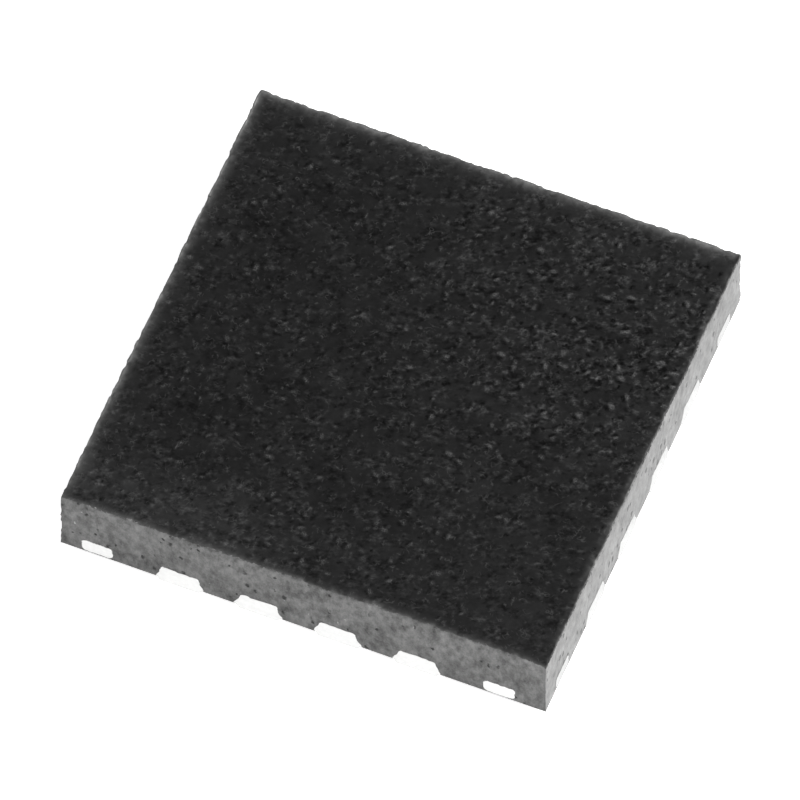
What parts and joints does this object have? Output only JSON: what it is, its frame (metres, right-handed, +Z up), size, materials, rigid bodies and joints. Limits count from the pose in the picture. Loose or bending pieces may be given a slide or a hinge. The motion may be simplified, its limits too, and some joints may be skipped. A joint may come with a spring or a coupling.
{
  "type": "quad flat no-lead chip",
  "caption": "Flat square surface-mount chip: dark moulded body with sawn sides, metal leads flush along every edge and a metal heat pad underneath.",
  "frame": {"origin": "on the board's surface, the plane of the lands, under the middle of the mould body", "axes": "+Z up out of the board, -Y out of the sawn face at the picture's front, +X to the right; lead 1 is the back lead of the -X side"},
  "size_m": [0.003, 0.003, 0.0005],
  "materials": {
    "mould": "matte moulded top, sawn grey sides with filler specks",
    "plated_leadframe": "matte tin plating on the lands, bright sawn ends",
    "die_adhesive": "silver filled",
    "silicon": "polished",
    "gold_wire": "drawn"
  },
  "bodies": {
    "root": {"mould_body": "mould", "die_paddle": "plated_leadframe", "die_adhesive": "die_adhesive", "die": "silicon", "lead_01": "plated_leadframe", "lead_02": "plated_leadframe", "lead_03": "plated_leadframe", "lead_04": "plated_leadframe", "lead_05": "plated_leadframe", "lead_06": "plated_leadframe", "lead_07": "plated_leadframe", "lead_08": "plated_leadframe", "lead_09": "plated_leadframe", "lead_10": "plated_leadframe", "lead_11": "plated_leadframe", "lead_12": "plated_leadframe", "lead_13": "plated_leadframe", "lead_14": "plated_leadframe", "lead_15": "plated_leadframe", "lead_16": "plated_leadframe", "bond_wire_01": "gold_wire", "bond_wire_02": "gold_wire", "bond_wire_03": "gold_wire", "bond_wire_04": "gold_wire", "bond_wire_05": "gold_wire", "bond_wire_06": "gold_wire", "bond_wire_07": "gold_wire", "bond_wire_08": "gold_wire", "bond_wire_09": "gold_wire", "bond_wire_10": "gold_wire", "bond_wire_11": "gold_wire", "bond_wire_12": "gold_wire", "bond_wire_13": "gold_wire", "bond_wire_14": "gold_wire", "bond_wire_15": "gold_wire", "bond_wire_16": "gold_wire"}
  },
  "joints": []
}
